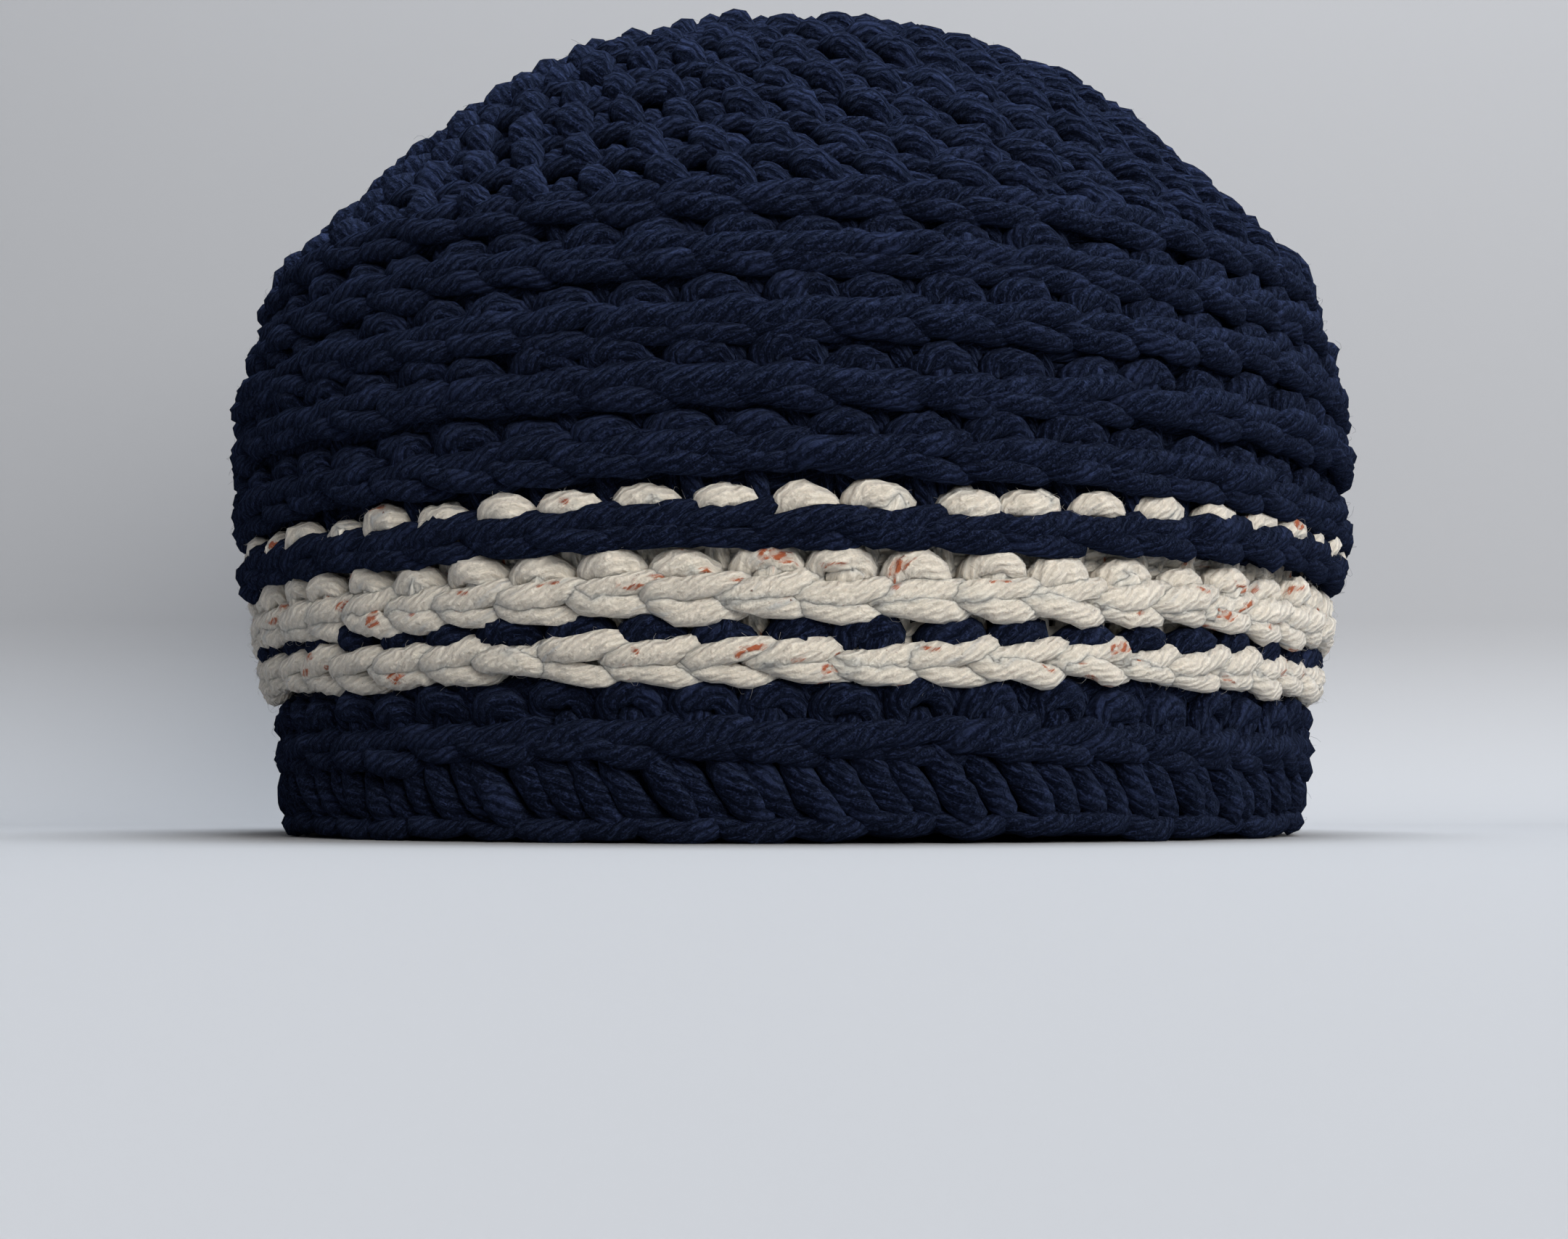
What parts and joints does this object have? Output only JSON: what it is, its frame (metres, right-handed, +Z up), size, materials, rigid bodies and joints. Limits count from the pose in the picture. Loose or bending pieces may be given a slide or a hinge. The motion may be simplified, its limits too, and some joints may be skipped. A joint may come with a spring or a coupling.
{
  "type": "crochet beanie",
  "caption": "Chunky crochet beanie: an oval domed cap of ridged navy rounds with oatmeal tweed stripes near the hem, open below for a head.",
  "frame": {"origin": "middle of the hem's underside, in the plane that the hat rests on", "axes": "+Z up to the crown, -Y towards the front of the hat, +X to the wearer's left"},
  "size_m": [0.1876, 0.2008, 0.1334],
  "materials": {
    "navy_yarn": "plied chunky yarn, dark navy with faint blue and teal fibres, matt and slightly fuzzy",
    "oatmeal_yarn": "plied chunky tweed yarn, oatmeal with rust and grey flecks, matt and slightly fuzzy"
  },
  "bodies": {
    "root": {"hem_round": "navy_yarn", "lower_wall": "navy_yarn", "lower_stripe": "oatmeal_yarn", "stripe_gap": "navy_yarn", "upper_stripe": "oatmeal_yarn", "border_round": "navy_yarn", "dash_round": "oatmeal_yarn", "upper_wall": "navy_yarn", "crown": "navy_yarn"}
  },
  "joints": []
}
